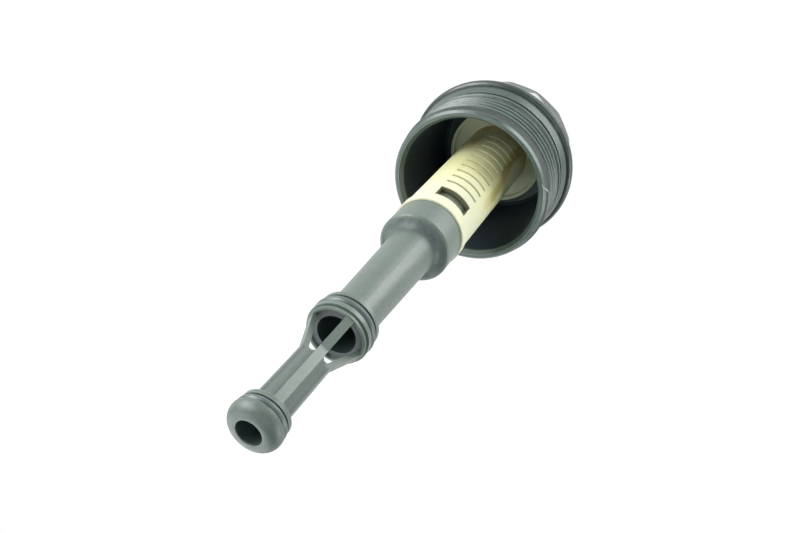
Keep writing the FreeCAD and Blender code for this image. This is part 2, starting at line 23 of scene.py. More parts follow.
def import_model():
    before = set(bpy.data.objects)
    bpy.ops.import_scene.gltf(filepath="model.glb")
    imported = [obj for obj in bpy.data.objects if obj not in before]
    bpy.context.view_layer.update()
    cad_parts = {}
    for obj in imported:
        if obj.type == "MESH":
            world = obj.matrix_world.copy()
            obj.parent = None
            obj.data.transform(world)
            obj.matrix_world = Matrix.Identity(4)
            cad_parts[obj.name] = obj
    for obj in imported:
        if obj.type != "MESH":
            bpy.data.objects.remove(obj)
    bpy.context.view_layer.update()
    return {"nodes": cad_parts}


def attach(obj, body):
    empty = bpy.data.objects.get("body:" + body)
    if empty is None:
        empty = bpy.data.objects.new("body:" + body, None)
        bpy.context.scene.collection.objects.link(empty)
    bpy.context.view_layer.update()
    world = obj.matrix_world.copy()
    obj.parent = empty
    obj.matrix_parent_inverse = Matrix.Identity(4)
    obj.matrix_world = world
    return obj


LOG = logging.getLogger("filter_cap")
MM = 0.001

# Farther away than any place on the object, in millimetres.
NOWHERE = 1.0e3

Colour = tuple[float, float, float]
Point = tuple[float, float, float]
Span = tuple[float, float]
Nodes = dict[str, bpy.types.Object]

WHITE: Colour = (1.0, 1.0, 1.0)


def tone(red: float, green: float, blue: float) -> Colour:
    """Gives the linear colour of a display colour.

    Args:
        red: Its red, from 0 to 255.
        green: Its green, from 0 to 255.
        blue: Its blue, from 0 to 255.

    Returns:
        The colour that a shader's socket takes.
    """
    # The curve between sRGB and linear light.
    return tuple(
        c / 12.92 if c <= 0.04045 else ((c + 0.055) / 1.055) ** 2.4
        for c in (red / 255, green / 255, blue / 255)
    )


def polar(radius: float, degrees: float, height: float) -> Vector:
    """Gives the point at a radius, an angle from +X and a height."""
    angle = math.radians(degrees)
    return Vector((radius * math.cos(angle), radius * math.sin(angle), height))


class Node(Enum):
    """The CAD nodes that get a finish here."""

    CAP_BODY = "cap_body"
    CAP_SEAL_RING = "cap_seal_ring"
    VALVE_CAGE = "valve_cage"
    VALVE_PLUNGER = "valve_plunger"
    VALVE_SPRING = "valve_spring"
    STANDPIPE = "standpipe"
    PIPE_SEAL_RING = "pipe_seal_ring"
    NOSE_SEAL_RING = "nose_seal_ring"


class Blend(Enum):
    """The ways to put one colour on another."""

    MIX = "MIX"
    MULTIPLY = "MULTIPLY"


class Ray(Enum):
    """The kinds of ray that meet the studio in their own way."""

    CAMERA = "Is Camera Ray"
    GLOSSY = "Is Glossy Ray"
    TRANSMISSION = "Is Transmission Ray"


class Signal:
    """Wraps a shader socket, so that arithmetic on it adds Math nodes."""

    def __init__(self, sheet: Sheet, socket: bpy.types.NodeSocket) -> None:
        """Keeps the sheet that the socket's node is on, and the socket."""
        self.sheet = sheet
        self.socket = socket

    def _math(self, operation: str, *values: Signal | float) -> Signal:
        """Adds one Math node.

        Args:
            operation: The Math node's operation.
            *values: What goes into its sockets, in order.

        Returns:
            The node's result.
        """
        return self.sheet.signal(
            "ShaderNodeMath", {"operation": operation}, dict(enumerate(values))
        )

    def __add__(self, other: Signal | float) -> Signal:
        """Adds a number or a signal."""
        return self._math("ADD", self, other)

    __radd__ = __add__

    def __mul__(self, other: Signal | float) -> Signal:
        """Multiplies by a number or a signal."""
        return self._math("MULTIPLY", self, other)

    __rmul__ = __mul__

    def __sub__(self, other: Signal | float) -> Signal:
        """Takes a number or a signal away."""
        return self._math("SUBTRACT", self, other)

    def __rsub__(self, other: float) -> Signal:
        """Takes this signal away from a number."""
        return self._math("SUBTRACT", other, self)

    def __pow__(self, other: float) -> Signal:
        """Raises this signal to a power."""
        return self._math("POWER", self, other)

    def __abs__(self) -> Signal:
        """Drops the sign."""
        return self._math("ABSOLUTE", self)

    def larger(self, other: Signal | float) -> Signal:
        """Takes the larger of two."""
        return self._math("MAXIMUM", self, other)

    def smaller(self, other: Signal | float) -> Signal:
        """Takes the smaller of two."""
        return self._math("MINIMUM", self, other)

    def rise(self, start: float, end: float) -> Signal:
        """Goes smoothly from 0 at one value to 1 at another.

        Args:
            start: The value where the result is 0.
            end: The value where the result is 1, above or below start.

        Returns:
            The result, from 0 to 1.
        """
        step = self.sheet.signal(
            "ShaderNodeMapRange",
            {"interpolation_type": "SMOOTHSTEP"},
            {"Value": self, "From Min": min(start, end), "From Max": max(start, end)},
        )
        return step if end > start else 1 - step

    def near(self, middle: float, reach: float, fade: float) -> Signal:
        """Is 1 near a value and fades to 0 away from it.

        Args:
            middle: The value in the middle of the band.
            reach: Half the width of the band.
            fade: How wide the fade is on each side.

        Returns:
            The band, from 0 to 1.
        """
        return abs(self - middle).rise(reach + fade, reach)

    def about(self, middle: float, reach: float) -> Signal:
        """Is 1 in the middle of a stretch and fades softly past its ends.

        Args:
            middle: The value in the middle of the stretch.
            reach: About half the length of the stretch.

        Returns:
            The stretch, from 0 to 1.
        """
        return self.near(middle, reach * 0.4, reach * 0.8)

    def swing(self, width: float) -> Signal:
        """Makes a pattern from 0 to 1 swing about 0, so far from end to end."""
        return (self - 0.5) * width


def strongest(masks: Iterable[Signal]) -> Signal | float:
    """Joins masks into one.

    Args:
        masks: The masks, none of them below 0.

    Returns:
        The largest of them, or 0 if there are none.
    """
    found = list(masks)
    return reduce(Signal.larger, found) if found else 0.0


@dataclass(frozen=True)
class Around:
    """Where a shaded point lies about the cap's axis."""

    angle: Signal
    radius: Signal
    height: Signal
    place: Signal


@dataclass(frozen=True)
class Pattern:
    """A cloudy pattern.

    Its spots are about its size apart, in millimetres. Detail is the number of
    its finer layers, and sharpness is how strong they are.
    """

    size: float
    detail: float = 2.0
    sharpness: float = 0.5


class Sheet:
    """One node tree, of a material or of the world, with the calls that add its nodes."""

    # How exactly the Bevel node looks for edges.
    EDGE_SAMPLES = 4
    # How far a normal turns off its face where an edge begins, and at the edge.
    EDGE_TURN: Span = (0.01, 0.22)

    def __init__(self, name: str, world: bool = False) -> None:
        """Makes the owner of the tree and empties the tree.

        Args:
            name: The owner's name.
            world: Whether the owner is a world and not a material.
        """
        self.owner = (bpy.data.worlds if world else bpy.data.materials).new(name)
        self.owner.use_nodes = True
        self.owner.node_tree.nodes.clear()

    def node(
        self,
        kind: str,
        settings: dict[str, object] | None = None,
        sockets: dict[str | int, object] | None = None,
    ) -> bpy.types.Node:
        """Adds one node.

        Args:
            kind: The node's type.
            settings: Its own settings, which are set first.
            sockets: Values or signals for its inputs, by name or by number.

        Returns:
            The new node.
        """
        tree = self.owner.node_tree
        made = tree.nodes.new(kind)
        for key, value in (settings or {}).items():
            setattr(made, key, value)
        for key, value in (sockets or {}).items():
            socket = made.inputs[key]
            if isinstance(value, Signal):
                tree.links.new(value.socket, socket)
            elif socket.type == "RGBA":
                socket.default_value = (*value, 1)
            else:
                socket.default_value = value
        return made

    def signal(
        self,
        kind: str,
        settings: dict[str, object] | None = None,
        sockets: dict[str | int, object] | None = None,
        output: str | int = 0,
    ) -> Signal:
        """Adds one node and gives one of its outputs.

        Args:
            kind: The node's type.
            settings: Its own settings.
            sockets: Values or signals for its inputs.
            output: The output's name or number.

        Returns:
            The output as a signal.
        """
        return Signal(self, self.node(kind, settings, sockets).outputs[output])

    def mix(
        self,
        factor: Signal | float,
        first: Signal | Colour,
        second: Signal | Colour,
        blend: Blend = Blend.MIX,
    ) -> Signal:
        """Mixes two colours.

        Args:
            factor: How much of the second colour shows, from 0 to 1.
            first: The colour at 0.
            second: The colour at 1.
            blend: The way to mix them.

        Returns:
            The mixed colour.
        """
        # A Mix node keeps its colours in inputs 6 and 7 and in output 2.
        return self.signal(
            "ShaderNodeMix",
            {"data_type": "RGBA", "blend_type": blend.value, "clamp_factor": True},
            {0: factor, 6: first, 7: second},
            2,
        )

    def shaded(self, base: Signal, shade: Signal) -> Signal:
        """Multiplies a colour by a shade of grey.

        Args:
            base: The colour.
            shade: The grey, where 1 leaves the colour as it is.

        Returns:
            The shaded colour.
        """
        grey = self.signal("ShaderNodeCombineColor", None, {0: shade, 1: shade, 2: shade})
        return self.mix(1.0, base, grey, Blend.MULTIPLY)

    def around(self) -> Around:
        """Gives the shaded point's place about the axis.

        Returns:
            The angle in degrees from +X, the radius and height in
            millimetres, and the place itself as a vector in millimetres.
        """
        where = self.signal("ShaderNodeTexCoord", output="Object")
        place = self.signal(
            "ShaderNodeVectorMath", {"operation": "SCALE"}, {0: where, "Scale": 1 / MM}
        )
        split = self.node("ShaderNodeSeparateXYZ", None, {0: place})
        x, y, z = (Signal(self, split.outputs[axis]) for axis in range(3))
        turn = self.signal("ShaderNodeMath", {"operation": "ARCTAN2"}, {0: y, 1: x})
        return Around(turn * math.degrees(1), (x * x + y * y) ** 0.5, z, place)

    def noise(self, place: Signal, pattern: Pattern) -> Signal:
        """Lays a pattern.

        Args:
            place: The vector that it lies on, in millimetres.
            pattern: The pattern.

        Returns:
            The pattern's value, from 0 to 1.
        """
        return self.signal(
            "ShaderNodeTexNoise",
            None,
            {
                "Vector": place,
                "Scale": 1 / pattern.size,
                "Detail": pattern.detail,
                "Roughness": pattern.sharpness,
            },
        )

    def stretch(self, place: Signal, factors: Point) -> Signal:
        """Scales a vector along its axes, so that a pattern on it runs in streaks."""
        return self.signal(
            "ShaderNodeVectorMath", {"operation": "MULTIPLY"}, {0: place, 1: factors}
        )

    def wrapped(self, where: Around, radius: float, factors: Point) -> Signal:
        """Unrolls the surface about the axis, so that a pattern on it runs round the axis.

        Args:
            where: The point's place about the axis.
            radius: The radius at which the unrolled length is true.
            factors: Scale along the turn, the radius and the height.

        Returns:
            A vector of arc length, radius and height.
        """
        arc = where.angle * math.radians(radius)
        flat = self.signal(
            "ShaderNodeCombineXYZ", None, {0: arc, 1: where.radius, 2: where.height}
        )
        return self.stretch(flat, factors)

    def edges(self, reach: float) -> Signal:
        """Finds the edges of a solid.

        Args:
            reach: How wide an edge is, in metres.

        Returns:
            0 on a flat face, up to 1 at an edge.
        """
        soft = self.signal("ShaderNodeBevel", {"samples": self.EDGE_SAMPLES}, {"Radius": reach})
        plain = self.signal("ShaderNodeNewGeometry", output="Normal")
        same = self.signal(
            "ShaderNodeVectorMath", {"operation": "DOT_PRODUCT"}, {0: soft, 1: plain}, "Value"
        )
        return (1 - same).rise(*self.EDGE_TURN)

    def surface(
        self, relief: Signal, depth: float, sockets: dict[str, object]
    ) -> bpy.types.Material:
        """Closes the material with its shader and output.

        Args:
            relief: The relief of the surface, from 0 to 1.
            depth: How deep the relief is, in metres.
            sockets: Values or signals for the shader's inputs.

        Returns:
            The finished material.
        """
        normal = self.signal("ShaderNodeBump", None, {"Distance": depth, "Height": relief})
        shader = self.signal("ShaderNodeBsdfPrincipled", None, {**sockets, "Normal": normal})
        self.node("ShaderNodeOutputMaterial", None, {"Surface": shader})
        return self.owner


@dataclass(frozen=True)
class ShadedHollow:
    """A recess with painted shade on its walls: its radius and its ends, and how dark it is."""

    radius: float
    low: float
    high: float
    strength: float = 1.0
    radius_fade: float = 0.25
    low_fade: float = 0.5
    high_fade: float = 0.3

    def inside(self, where: Around) -> Signal:
        """Is above 0 on the recess's walls.

        Args:
            where: The point's place about the axis.

        Returns:
            The mask, from 0 to 1.
        """
        inner = where.radius.rise(self.radius + self.radius_fade, self.radius)
        above = where.height.rise(self.low - self.low_fade, self.low)
        below = where.height.rise(self.high + self.high_fade, self.high)
        return inner * above * below * self.strength


@dataclass(frozen=True)
class ShadeBand:
    """A band of the outside that gets a painted shade, evenly or in patches.

    Patchy is the share of the painted shade that comes and goes with the clouds.
    """

    inner_radius: float
    low: float
    high: float
    strength: float
    patchy: float = 0.0
    outer_radius: float = NOWHERE
    fade: float = 0.3
    patches: Span = (0.42, 0.60)

    def over(self, where: Around, cloud: Signal) -> Signal:
        """Is above 0 where the shade is painted.

        Args:
            where: The point's place about the axis.
            cloud: The pattern that the patches follow.

        Returns:
            The mask, from 0 to 1.
        """
        outside = where.radius.rise(self.inner_radius - self.fade, self.inner_radius)
        outside = outside * where.radius.rise(self.outer_radius + self.fade, self.outer_radius)
        above = where.height.rise(self.low - self.fade, self.low + self.fade)
        below = where.height.rise(self.high + self.fade, self.high - self.fade)
        spread = (1 - self.patchy) + cloud.rise(*self.patches) * self.patchy
        return outside * above * below * spread * self.strength


@dataclass(frozen=True)
class PaintedHighlight:
    """A pale painted highlight on a stretch of an edge.

    Its middle and its reach are angles. It is painted evenly to one share, and the
    streaks add to that.
    """

    middle: float
    reach: float
    inner_radius: float
    low: float
    high: float
    strength: float
    fade: float = 0.1
    evenness: float = 0.6
    streaks: float = 0.6

    def over(self, where: Around, fibre: Signal) -> Signal:
        """Is above 0 where the highlight is painted.

        Args:
            where: The point's place about the axis.
            fibre: The streaks that break the painted highlight up.

        Returns:
            The mask, which can pass 1 a little.
        """
        turn = where.angle.about(self.middle, self.reach)
        outside = where.radius.rise(self.inner_radius - self.fade, self.inner_radius + self.fade)
        above = where.height.rise(self.low - self.fade, self.low + self.fade)
        below = where.height.rise(self.high + self.fade, self.high - self.fade)
        highlight_share = self.evenness + fibre * self.streaks
        return turn * outside * above * below * highlight_share * self.strength


@dataclass(frozen=True)
class Stain:
    """An oil stain that runs along the outside of the cage.

    Its middle at the disc, its reach and its lean towards the mouth are angles.
    Its top is the height where it starts.
    """

    middle: float
    reach: float
    top: float
    lean: float = 0.0
    lean_heights: Span = (28.0, 56.0)
    wander: float = 8.0
    fade: float = 8.0

    def over(self, where: Around, cloud: Signal, level: Signal) -> Signal:
        """Is above 0 where the stain is.

        Args:
            where: The point's place about the axis.
            cloud: The pattern that makes its sides uneven.
            level: The height of the point, made uneven.

        Returns:
            The mask, from 0 to 1.
        """
        lean = where.height.rise(*self.lean_heights) * self.lean
        turn = (where.angle + lean + cloud.swing(self.wander)).about(self.middle, self.reach)
        return turn * level.rise(self.top + self.fade, self.top - self.fade)


@dataclass(frozen=True)
class GreyPlastic:
    """Glass-fibre filled moulded plastic, satin, with fibre streaks and pale edges.

    The cool colour comes and goes along the fibres. Its pale colour is that of its
    edges, which are partly abraded and partly a painted highlight, and of its painted
    highlights. Its two dark colours are those of its painted shade, on bands of the
    outside and in its recesses. It is smoother below one height, and turning lines
    run round it between two others.
    """

    name: str
    colour: Colour
    cool: Colour
    wear_and_highlight_colour: Colour
    painted_shade_colour: Colour
    dark_inside: Colour
    roughness: float
    specular: float
    streak_run: Point
    shaded_hollows: tuple[ShadedHollow, ...] = ()
    painted_shades: tuple[ShadeBand, ...] = ()
    painted_highlights: tuple[PaintedHighlight, ...] = ()
    wear_and_highlight: float = 0.5
    speckle: float = 0.16
    smooth_below: float = -NOWHERE
    smooth_fade: float = 0.4
    turned_from: float = NOWHERE
    turned_to: float = NOWHERE
    turned_fade: float = 1.0
    turned_radius: float = 32.0
    turned_run: Point = (0.02, 0.4, 1.0)
    clouds: Pattern = Pattern(7.0, 3.0)
    fibres: Pattern = Pattern(1.3, 3.0, 0.6)
    grains: Pattern = Pattern(0.30, 2.0, 0.65)
    mottles: Pattern = Pattern(0.95, 2.0, 0.7)
    turned_lines: Pattern = Pattern(0.5, 2.0, 0.7)
    cool_share: Span = (0.30, 0.70)
    pale_edge_clouds: Span = (0.25, 0.60)
    edge_reach: float = 0.40 * MM
    darkest: float = 0.76
    cloud_shade: float = 0.22
    fibre_shade: float = 0.16
    grain_shade: float = 0.10
    rough_spread: float = 0.14
    pale_edge_polish: float = 0.06
    smooth_polish: float = 0.22
    painted_shade_dulling: float = 0.35
    recess_dulling: float = 0.12
    grain_relief: float = 0.6
    fibre_relief: float = 0.4
    turned_relief: float = 2.2
    relief_depth: float = 0.035 * MM
    ior: float = 1.53

    def material(self) -> bpy.types.Material:
        """Builds the finish.

        Returns:
            The material.
        """
        sheet = Sheet(self.name)
        where = sheet.around()
        cloud = sheet.noise(where.place, self.clouds)
        fibre = sheet.noise(sheet.stretch(where.place, self.streak_run), self.fibres)
        grain = sheet.noise(where.place, self.grains)
        mottle = sheet.noise(where.place, self.mottles)
        # Pale edges, partly abrasion and partly a painted highlight.
        worn_and_lit_edges = sheet.edges(self.edge_reach) * cloud.rise(*self.pale_edge_clouds)
        # Painted shade on bands of the outside.
        shade_masks = [shade_band.over(where, cloud) for shade_band in self.painted_shades]
        # Painted highlights on stretches of edges.
        highlight_masks = [highlight.over(where, fibre).smaller(1.0) for highlight in self.painted_highlights]
        # Painted shade in the recesses.
        oil = strongest(recess.inside(where) for recess in self.shaded_hollows)

        shade = self.darkest - self.speckle / 2 + cloud * self.cloud_shade
        shade = shade + fibre * self.fibre_shade + grain * self.grain_shade
        shade = shade + mottle * self.speckle
        base = sheet.mix(fibre.rise(*self.cool_share), self.colour, self.cool)
        base = sheet.shaded(base, shade)
        for shade_mask in shade_masks:
            base = sheet.mix(shade_mask, base, self.painted_shade_colour)
        base = sheet.mix(worn_and_lit_edges * self.wear_and_highlight, base, self.wear_and_highlight_colour)
        for highlight_mask in highlight_masks:
            base = sheet.mix(highlight_mask, base, self.wear_and_highlight_colour)
        base = sheet.mix(oil, base, self.dark_inside)

        uneven = fibre.swing(self.rough_spread) + grain.swing(self.rough_spread)
        rough = self.roughness + uneven - worn_and_lit_edges * self.pale_edge_polish
        for shade_mask in shade_masks:
            rough = rough + shade_mask * self.painted_shade_dulling
        smooth = where.height.rise(self.smooth_below + self.smooth_fade, self.smooth_below)
        rough = rough - smooth * self.smooth_polish * (1 - oil) + oil * self.recess_dulling

        above = where.height.rise(self.turned_from, self.turned_from + self.turned_fade)
        below = where.height.rise(self.turned_to + self.turned_fade, self.turned_to)
        unrolled = sheet.wrapped(where, self.turned_radius, self.turned_run)
        line = sheet.noise(unrolled, self.turned_lines).swing(self.turned_relief)
        relief = grain * self.grain_relief + fibre * self.fibre_relief
        return sheet.surface(
            relief + above * below * line,
            self.relief_depth,
            {
                "Base Color": base,
                "Roughness": rough,
                "Specular IOR Level": self.specular,
                "IOR": self.ior,
            },
        )


@dataclass(frozen=True)
class CreamPlastic:
    """Natural cream plastic of the cage, yellowed and stained by oil towards the cup.

    From its clean end downwards it turns yellowed and then lighter again, a painted
    light where little light reaches into the cup. Brown is the colour of the stains,
    of the freckles and of the foot above the disc. The disc is grey-green as painted
    shade, and the bore is darker. Light goes a little way into the plastic.
    """

    name: str
    clean: Colour
    yellowed: Colour
    painted_light_yellow: Colour
    brown: Colour
    dark_inside: Colour
    disc_painted_shade: Colour
    stains: tuple[Stain, ...]
    clouds: Pattern = Pattern(5.0, 4.0, 0.6)
    specks: Pattern = Pattern(0.5, 3.0, 0.6)
    runs: Pattern = Pattern(2.2, 3.0, 0.6)
    run_radius: float = 13.0
    run_stretch: Point = (1.0, 0.5, 0.12)
    cloud_wander: float = 14.0
    run_wander: float = 12.0
    yellow_heights: Span = (84.0, 52.0)
    painted_light_heights: Span = (44.0, 14.0)
    stain_foot: Span = (10.0, 16.0)
    stain_share: float = 0.85
    stain_evenness: float = 0.25
    stain_streaks: float = 0.9
    foot_heights: Span = (26.0, 13.0)
    foot_radii: Span = (14.1, 13.8)
    foot_share: float = 0.60
    disc_radii: Span = (13.8, 14.3)
    disc_heights: Span = (14.4, 14.0)
    freckle_clouds: Span = (0.60, 0.74)
    freckle_specks: Span = (0.45, 0.65)
    freckle_share: float = 0.25
    bore_radii: Span = (13.05, 12.6)
    bore_foot: Span = (14.0, 16.0)
    bore_share: float = 0.45
    window_heights: Span = (76.0, 78.0)
    window_share: float = 0.45
    darkest: float = 0.93
    cloud_shade: float = 0.08
    speck_shade: float = 0.06
    roughness: float = 0.42
    rough_spread: float = 0.2
    stain_polish: float = 0.08
    bore_polish: float = 0.10
    cloud_relief: float = 0.4
    speck_relief: float = 0.6
    relief_depth: float = 0.02 * MM
    ior: float = 1.50
    depth_share: float = 0.30
    depth_reach: Point = (4.0 * MM, 3.2 * MM, 1.4 * MM)

    def material(self) -> bpy.types.Material:
        """Builds the finish.

        Returns:
            The material.
        """
        sheet = Sheet(self.name)
        where = sheet.around()
        cloud = sheet.noise(where.place, self.clouds)
        speck = sheet.noise(where.place, self.specks)
        run = sheet.noise(sheet.wrapped(where, self.run_radius, self.run_stretch), self.runs)
        level = where.height + cloud.swing(self.cloud_wander) + run.swing(self.run_wander)

        stained = strongest(stain.over(where, cloud, level) for stain in self.stains)
        stained = stained * where.height.rise(*self.stain_foot)
        stained = stained * (self.stain_evenness + run * self.stain_streaks)
        foot = where.height.rise(*self.foot_heights) * where.radius.rise(*self.foot_radii)
        disc = where.radius.rise(*self.disc_radii) * where.height.rise(*self.disc_heights)
        freckle = cloud.rise(*self.freckle_clouds) * speck.rise(*self.freckle_specks)
        # The bore is darker at the windows than behind the slits.
        dark = self.bore_share + where.height.rise(*self.window_heights) * self.window_share
        bore = where.radius.rise(*self.bore_radii) * where.height.rise(*self.bore_foot) * dark

        base = sheet.mix(level.rise(*self.yellow_heights), self.clean, self.yellowed)
        # Lower down the colour is painted lighter again, as painted light where little light
        # reaches into the cup, with a yellow tint.
        base = sheet.mix(level.rise(*self.painted_light_heights), base, self.painted_light_yellow)
        base = sheet.mix(stained.smaller(1.0) * self.stain_share, base, self.brown)
        base = sheet.mix(foot * self.foot_share, base, self.brown)
        # The disc deep in the cup is grey-green as painted shade.
        base = sheet.mix(disc, base, self.disc_painted_shade)
        base = sheet.mix(freckle * self.freckle_share, base, self.brown)
        base = sheet.mix(bore, base, self.dark_inside)
        shade = self.darkest + cloud * self.cloud_shade + speck * self.speck_shade
        rough = self.roughness + cloud.swing(self.rough_spread)
        return sheet.surface(
            speck * self.speck_relief + cloud * self.cloud_relief,
            self.relief_depth,
            {
                "Base Color": sheet.shaded(base, shade),
                "Roughness": rough - stained * self.stain_polish - bore * self.bore_polish,
                "IOR": self.ior,
                "Subsurface Weight": self.depth_share,
                "Subsurface Radius": self.depth_reach,
                "Subsurface Scale": 1.0,
            },
        )


@dataclass(frozen=True)
class SealRubber:
    """Moulded rubber of a seal ring, with dust, the mould's joint line and an oil sheen: smoother
    patches that are also painted paler, a painted sheen.
    """

    name: str
    colour: Colour
    dust: Colour
    roughness: float
    joint_height: float
    joint_width: float = 0.05
    joint_fade: float = 0.08
    joint_wander: float = 0.1
    clouds: Pattern = Pattern(4.0, 3.0)
    grains: Pattern = Pattern(0.3, 3.0, 0.7)
    sheen_clouds: Span = (0.35, 0.75)
    painted_sheen_share: float = 0.35
    sheen_polish: float = 0.08
    dust_grains: Span = (0.58, 0.75)
    dust_share: float = 0.5
    rough_spread: float = 0.2
    grain_relief: float = 0.5
    joint_relief: float = 0.5
    relief_depth: float = 0.04 * MM
    specular: float = 0.8
    ior: float = 1.52

    def material(self) -> bpy.types.Material:
        """Builds the finish.

        Returns:
            The material.
        """
        sheet = Sheet(self.name)
        where = sheet.around()
        cloud = sheet.noise(where.place, self.clouds)
        grain = sheet.noise(where.place, self.grains)
        level = where.height + cloud.swing(self.joint_wander)
        joint = level.near(self.joint_height, self.joint_width, self.joint_fade)
        # Sheen patches are smoother, and painted paler as a painted sheen.
        sheen = cloud.rise(*self.sheen_clouds)
        dusty = grain.rise(*self.dust_grains) * self.dust_share
        base = sheet.mix(dusty, self.colour, self.dust)
        rough = self.roughness + grain.swing(self.rough_spread) - sheen * self.sheen_polish
        return sheet.surface(
            grain * self.grain_relief + joint * self.joint_relief,
            self.relief_depth,
            {
                "Base Color": sheet.mix(sheen * self.painted_sheen_share, base, self.dust),
                "Roughness": rough,
                "Specular IOR Level": self.specular,
                "IOR": self.ior,
            },
        )


@dataclass(frozen=True)
class OiledPlastic:
    """Dark glossy plastic of the valve plunger, wet with oil."""

    name: str
    colour: Colour
    oil: Colour
    clouds: Pattern = Pattern(3.0, 3.0, 0.6)
    grains: Pattern = Pattern(0.4)
    oil_clouds: Span = (0.40, 0.70)
    wet_clouds: Span = (0.35, 0.65)
    wet_share: float = 0.6
    wet_roughness: float = 0.08
    roughness: float = 0.14
    cloud_dulling: float = 0.2
    relief_depth: float = 0.01 * MM
    ior: float = 1.50

    def material(self) -> bpy.types.Material:
        """Builds the finish.

        Returns:
            The material.
        """
        sheet = Sheet(self.name)
        where = sheet.around()
        cloud = sheet.noise(where.place, self.clouds)
        return sheet.surface(
            sheet.noise(where.place, self.grains),
            self.relief_depth,
            {
                "Base Color": sheet.mix(cloud.rise(*self.oil_clouds), self.colour, self.oil),
                "Roughness": self.roughness + cloud * self.cloud_dulling,
                "IOR": self.ior,
                "Coat Weight": cloud.rise(*self.wet_clouds) * self.wet_share,
                "Coat Roughness": self.wet_roughness,
            },
        )


@dataclass(frozen=True)
class SpringWire:
    """Drawn steel wire of the valve spring, with draw lines and an oil tint."""

    name: str
    colour: Colour
    oil: Colour
    coil_radius: float = 7.0
    line_stretch: Point = (0.05, 4.0, 4.0)
    lines: Pattern = Pattern(0.6)
    clouds: Pattern = Pattern(2.5, 3.0)
    oil_clouds: Span = (0.35, 0.75)
    oil_share: float = 0.6
    roughness: float = 0.26
    line_dulling: float = 0.2
    relief_depth: float = 0.01 * MM

    def material(self) -> bpy.types.Material:
        """Builds the finish.

        Returns:
            The material.
        """
        sheet = Sheet(self.name)
        where = sheet.around()
        line = sheet.noise(sheet.wrapped(where, self.coil_radius, self.line_stretch), self.lines)
        dark_inside = sheet.noise(where.place, self.clouds).rise(*self.oil_clouds)
        return sheet.surface(
            line,
            self.relief_depth,
            {
                "Base Color": sheet.mix(dark_inside * self.oil_share, self.colour, self.oil),
                "Metallic": 1.0,
                "Roughness": self.roughness + line * self.line_dulling,
            },
        )


def dress(nodes: Nodes, node: Node, finish: bpy.types.Material) -> None:
    """Gives a CAD node its finish.

    Args:
        nodes: The CAD nodes by name.
        node: Which of them it is.
        finish: The material that every face of it takes.
    """
    piece = nodes[node.value]
    if not piece.material_slots:
        piece.data.materials.append(finish)
    for slot in piece.material_slots:
        slot.material = finish
    LOG.info("%s wears %s", piece.name, finish.name)


def place_mesh(
    name: str, made: bmesh.types.BMesh, finish: bpy.types.Material
) -> bpy.types.Object:
    """Puts a finished bmesh into the scene as an object.

    Args:
        name: The object's name.
        made: Its mesh, in the CAD frame, which is freed here.
        finish: Its material.

    Returns:
        The object.
    """
    data = bpy.data.meshes.new(name)
    made.to_mesh(data)
    made.free()
    data.materials.append(finish)
    placed = bpy.data.objects.new(name, data)
    bpy.context.scene.collection.objects.link(placed)
    LOG.info("%s has %d faces", name, len(data.polygons))
    return placed


@dataclass(frozen=True)
class ScrewCap:
    """The screw cap: its body, the seal ring in its groove and the thread's lead edge.

    The lead edge follows a path of points, each an angle, a depth below the
    thread's core and a height. Its profile is in shares of half its width and of
    its top. It starts and ends low, and its slope says how soon it is full.
    """

    plastic: GreyPlastic
    edge_highlight_plastic: GreyPlastic
    rubber: SealRubber
    core_radius: float = 32.2 * MM
    edge_path: tuple[Point, ...] = (
        (-86.6, -1.10 * MM, 49.95 * MM),
        (-88.6, -0.80 * MM, 49.90 * MM),
        (-91.0, 0.0, 49.1 * MM),
        (-98.8, 0.0, 43.8 * MM),
    )
    edge_steps: int = 12
    edge_width: float = 0.80 * MM
    edge_top: float = 0.45 * MM
    edge_sink: float = 0.1 * MM
    edge_profile: tuple[Span, ...] = ((-0.70, 0.75), (-0.35, 1.0), (0.35, 1.0), (0.70, 0.75))
    end_share: float = 0.15
    end_slope: float = 6.0
    mouth_rise: float = 0.6

    def build(self, nodes: Nodes) -> None:
        """Gives the cap's nodes their finishes and adds the lead edge.

        Args:
            nodes: The CAD nodes by name.
        """
        dress(nodes, Node.CAP_BODY, self.plastic.material())
        dress(nodes, Node.CAP_SEAL_RING, self.rubber.material())
        self.lead_edge()

    def edge_points(self) -> list[Vector]:
        """Divides the lead edge's path.

        Returns:
            Its points in even steps from corner to corner.
        """
        points = [
            Vector(start).lerp(Vector(end), step / self.edge_steps)
            for start, end in zip(self.edge_path, self.edge_path[1:])
            for step in range(self.edge_steps)
        ]
        return [*points, Vector(self.edge_path[-1])]

    def lead_edge(self) -> bpy.types.Object:
        """Adds the low slanting edge that runs from the mouth into the thread.

        Returns:
            The edge.
        """
        half = math.degrees(self.edge_width / 2 / self.core_radius)
        section = (
            (-half, -self.edge_sink),
            *((half * side, self.edge_top * up) for side, up in self.edge_profile),
            (half, -self.edge_sink),
        )
        points = self.edge_points()
        made = bmesh.new()
        rows = []
        for number, (angle, depth, height) in enumerate(points):
            share = number / (len(points) - 1)
            nearer_end = min(share, 1 - share)
            lift = min(1.0, self.end_share + self.end_slope * nearer_end)
            # On the mouth's rim, part of the relief stands up from the rim's face.
            rise = self.mouth_rise if depth < 0 else 0.0
            row = []
            for side, up in section:
                radius = self.core_radius + depth + up * lift * (1 - rise / 2)
                row.append(made.verts.new(polar(radius, angle + side, height + up * lift * rise)))
            rows.append(row)
        for first, second in zip(rows, rows[1:]):
            for corner, after in zip(range(len(section)), (*range(1, len(section)), 0)):
                made.faces.new((first[corner], first[after], second[after], second[corner]))
        made.faces.new(rows[0])
        made.faces.new(list(reversed(rows[-1])))
        bmesh.ops.recalc_face_normals(made, faces=made.faces)
        for face in made.faces:
            face.smooth = True
        edge = place_mesh("cap_lead_edge", made, self.edge_highlight_plastic.material())
        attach(edge, "cap")
        return edge


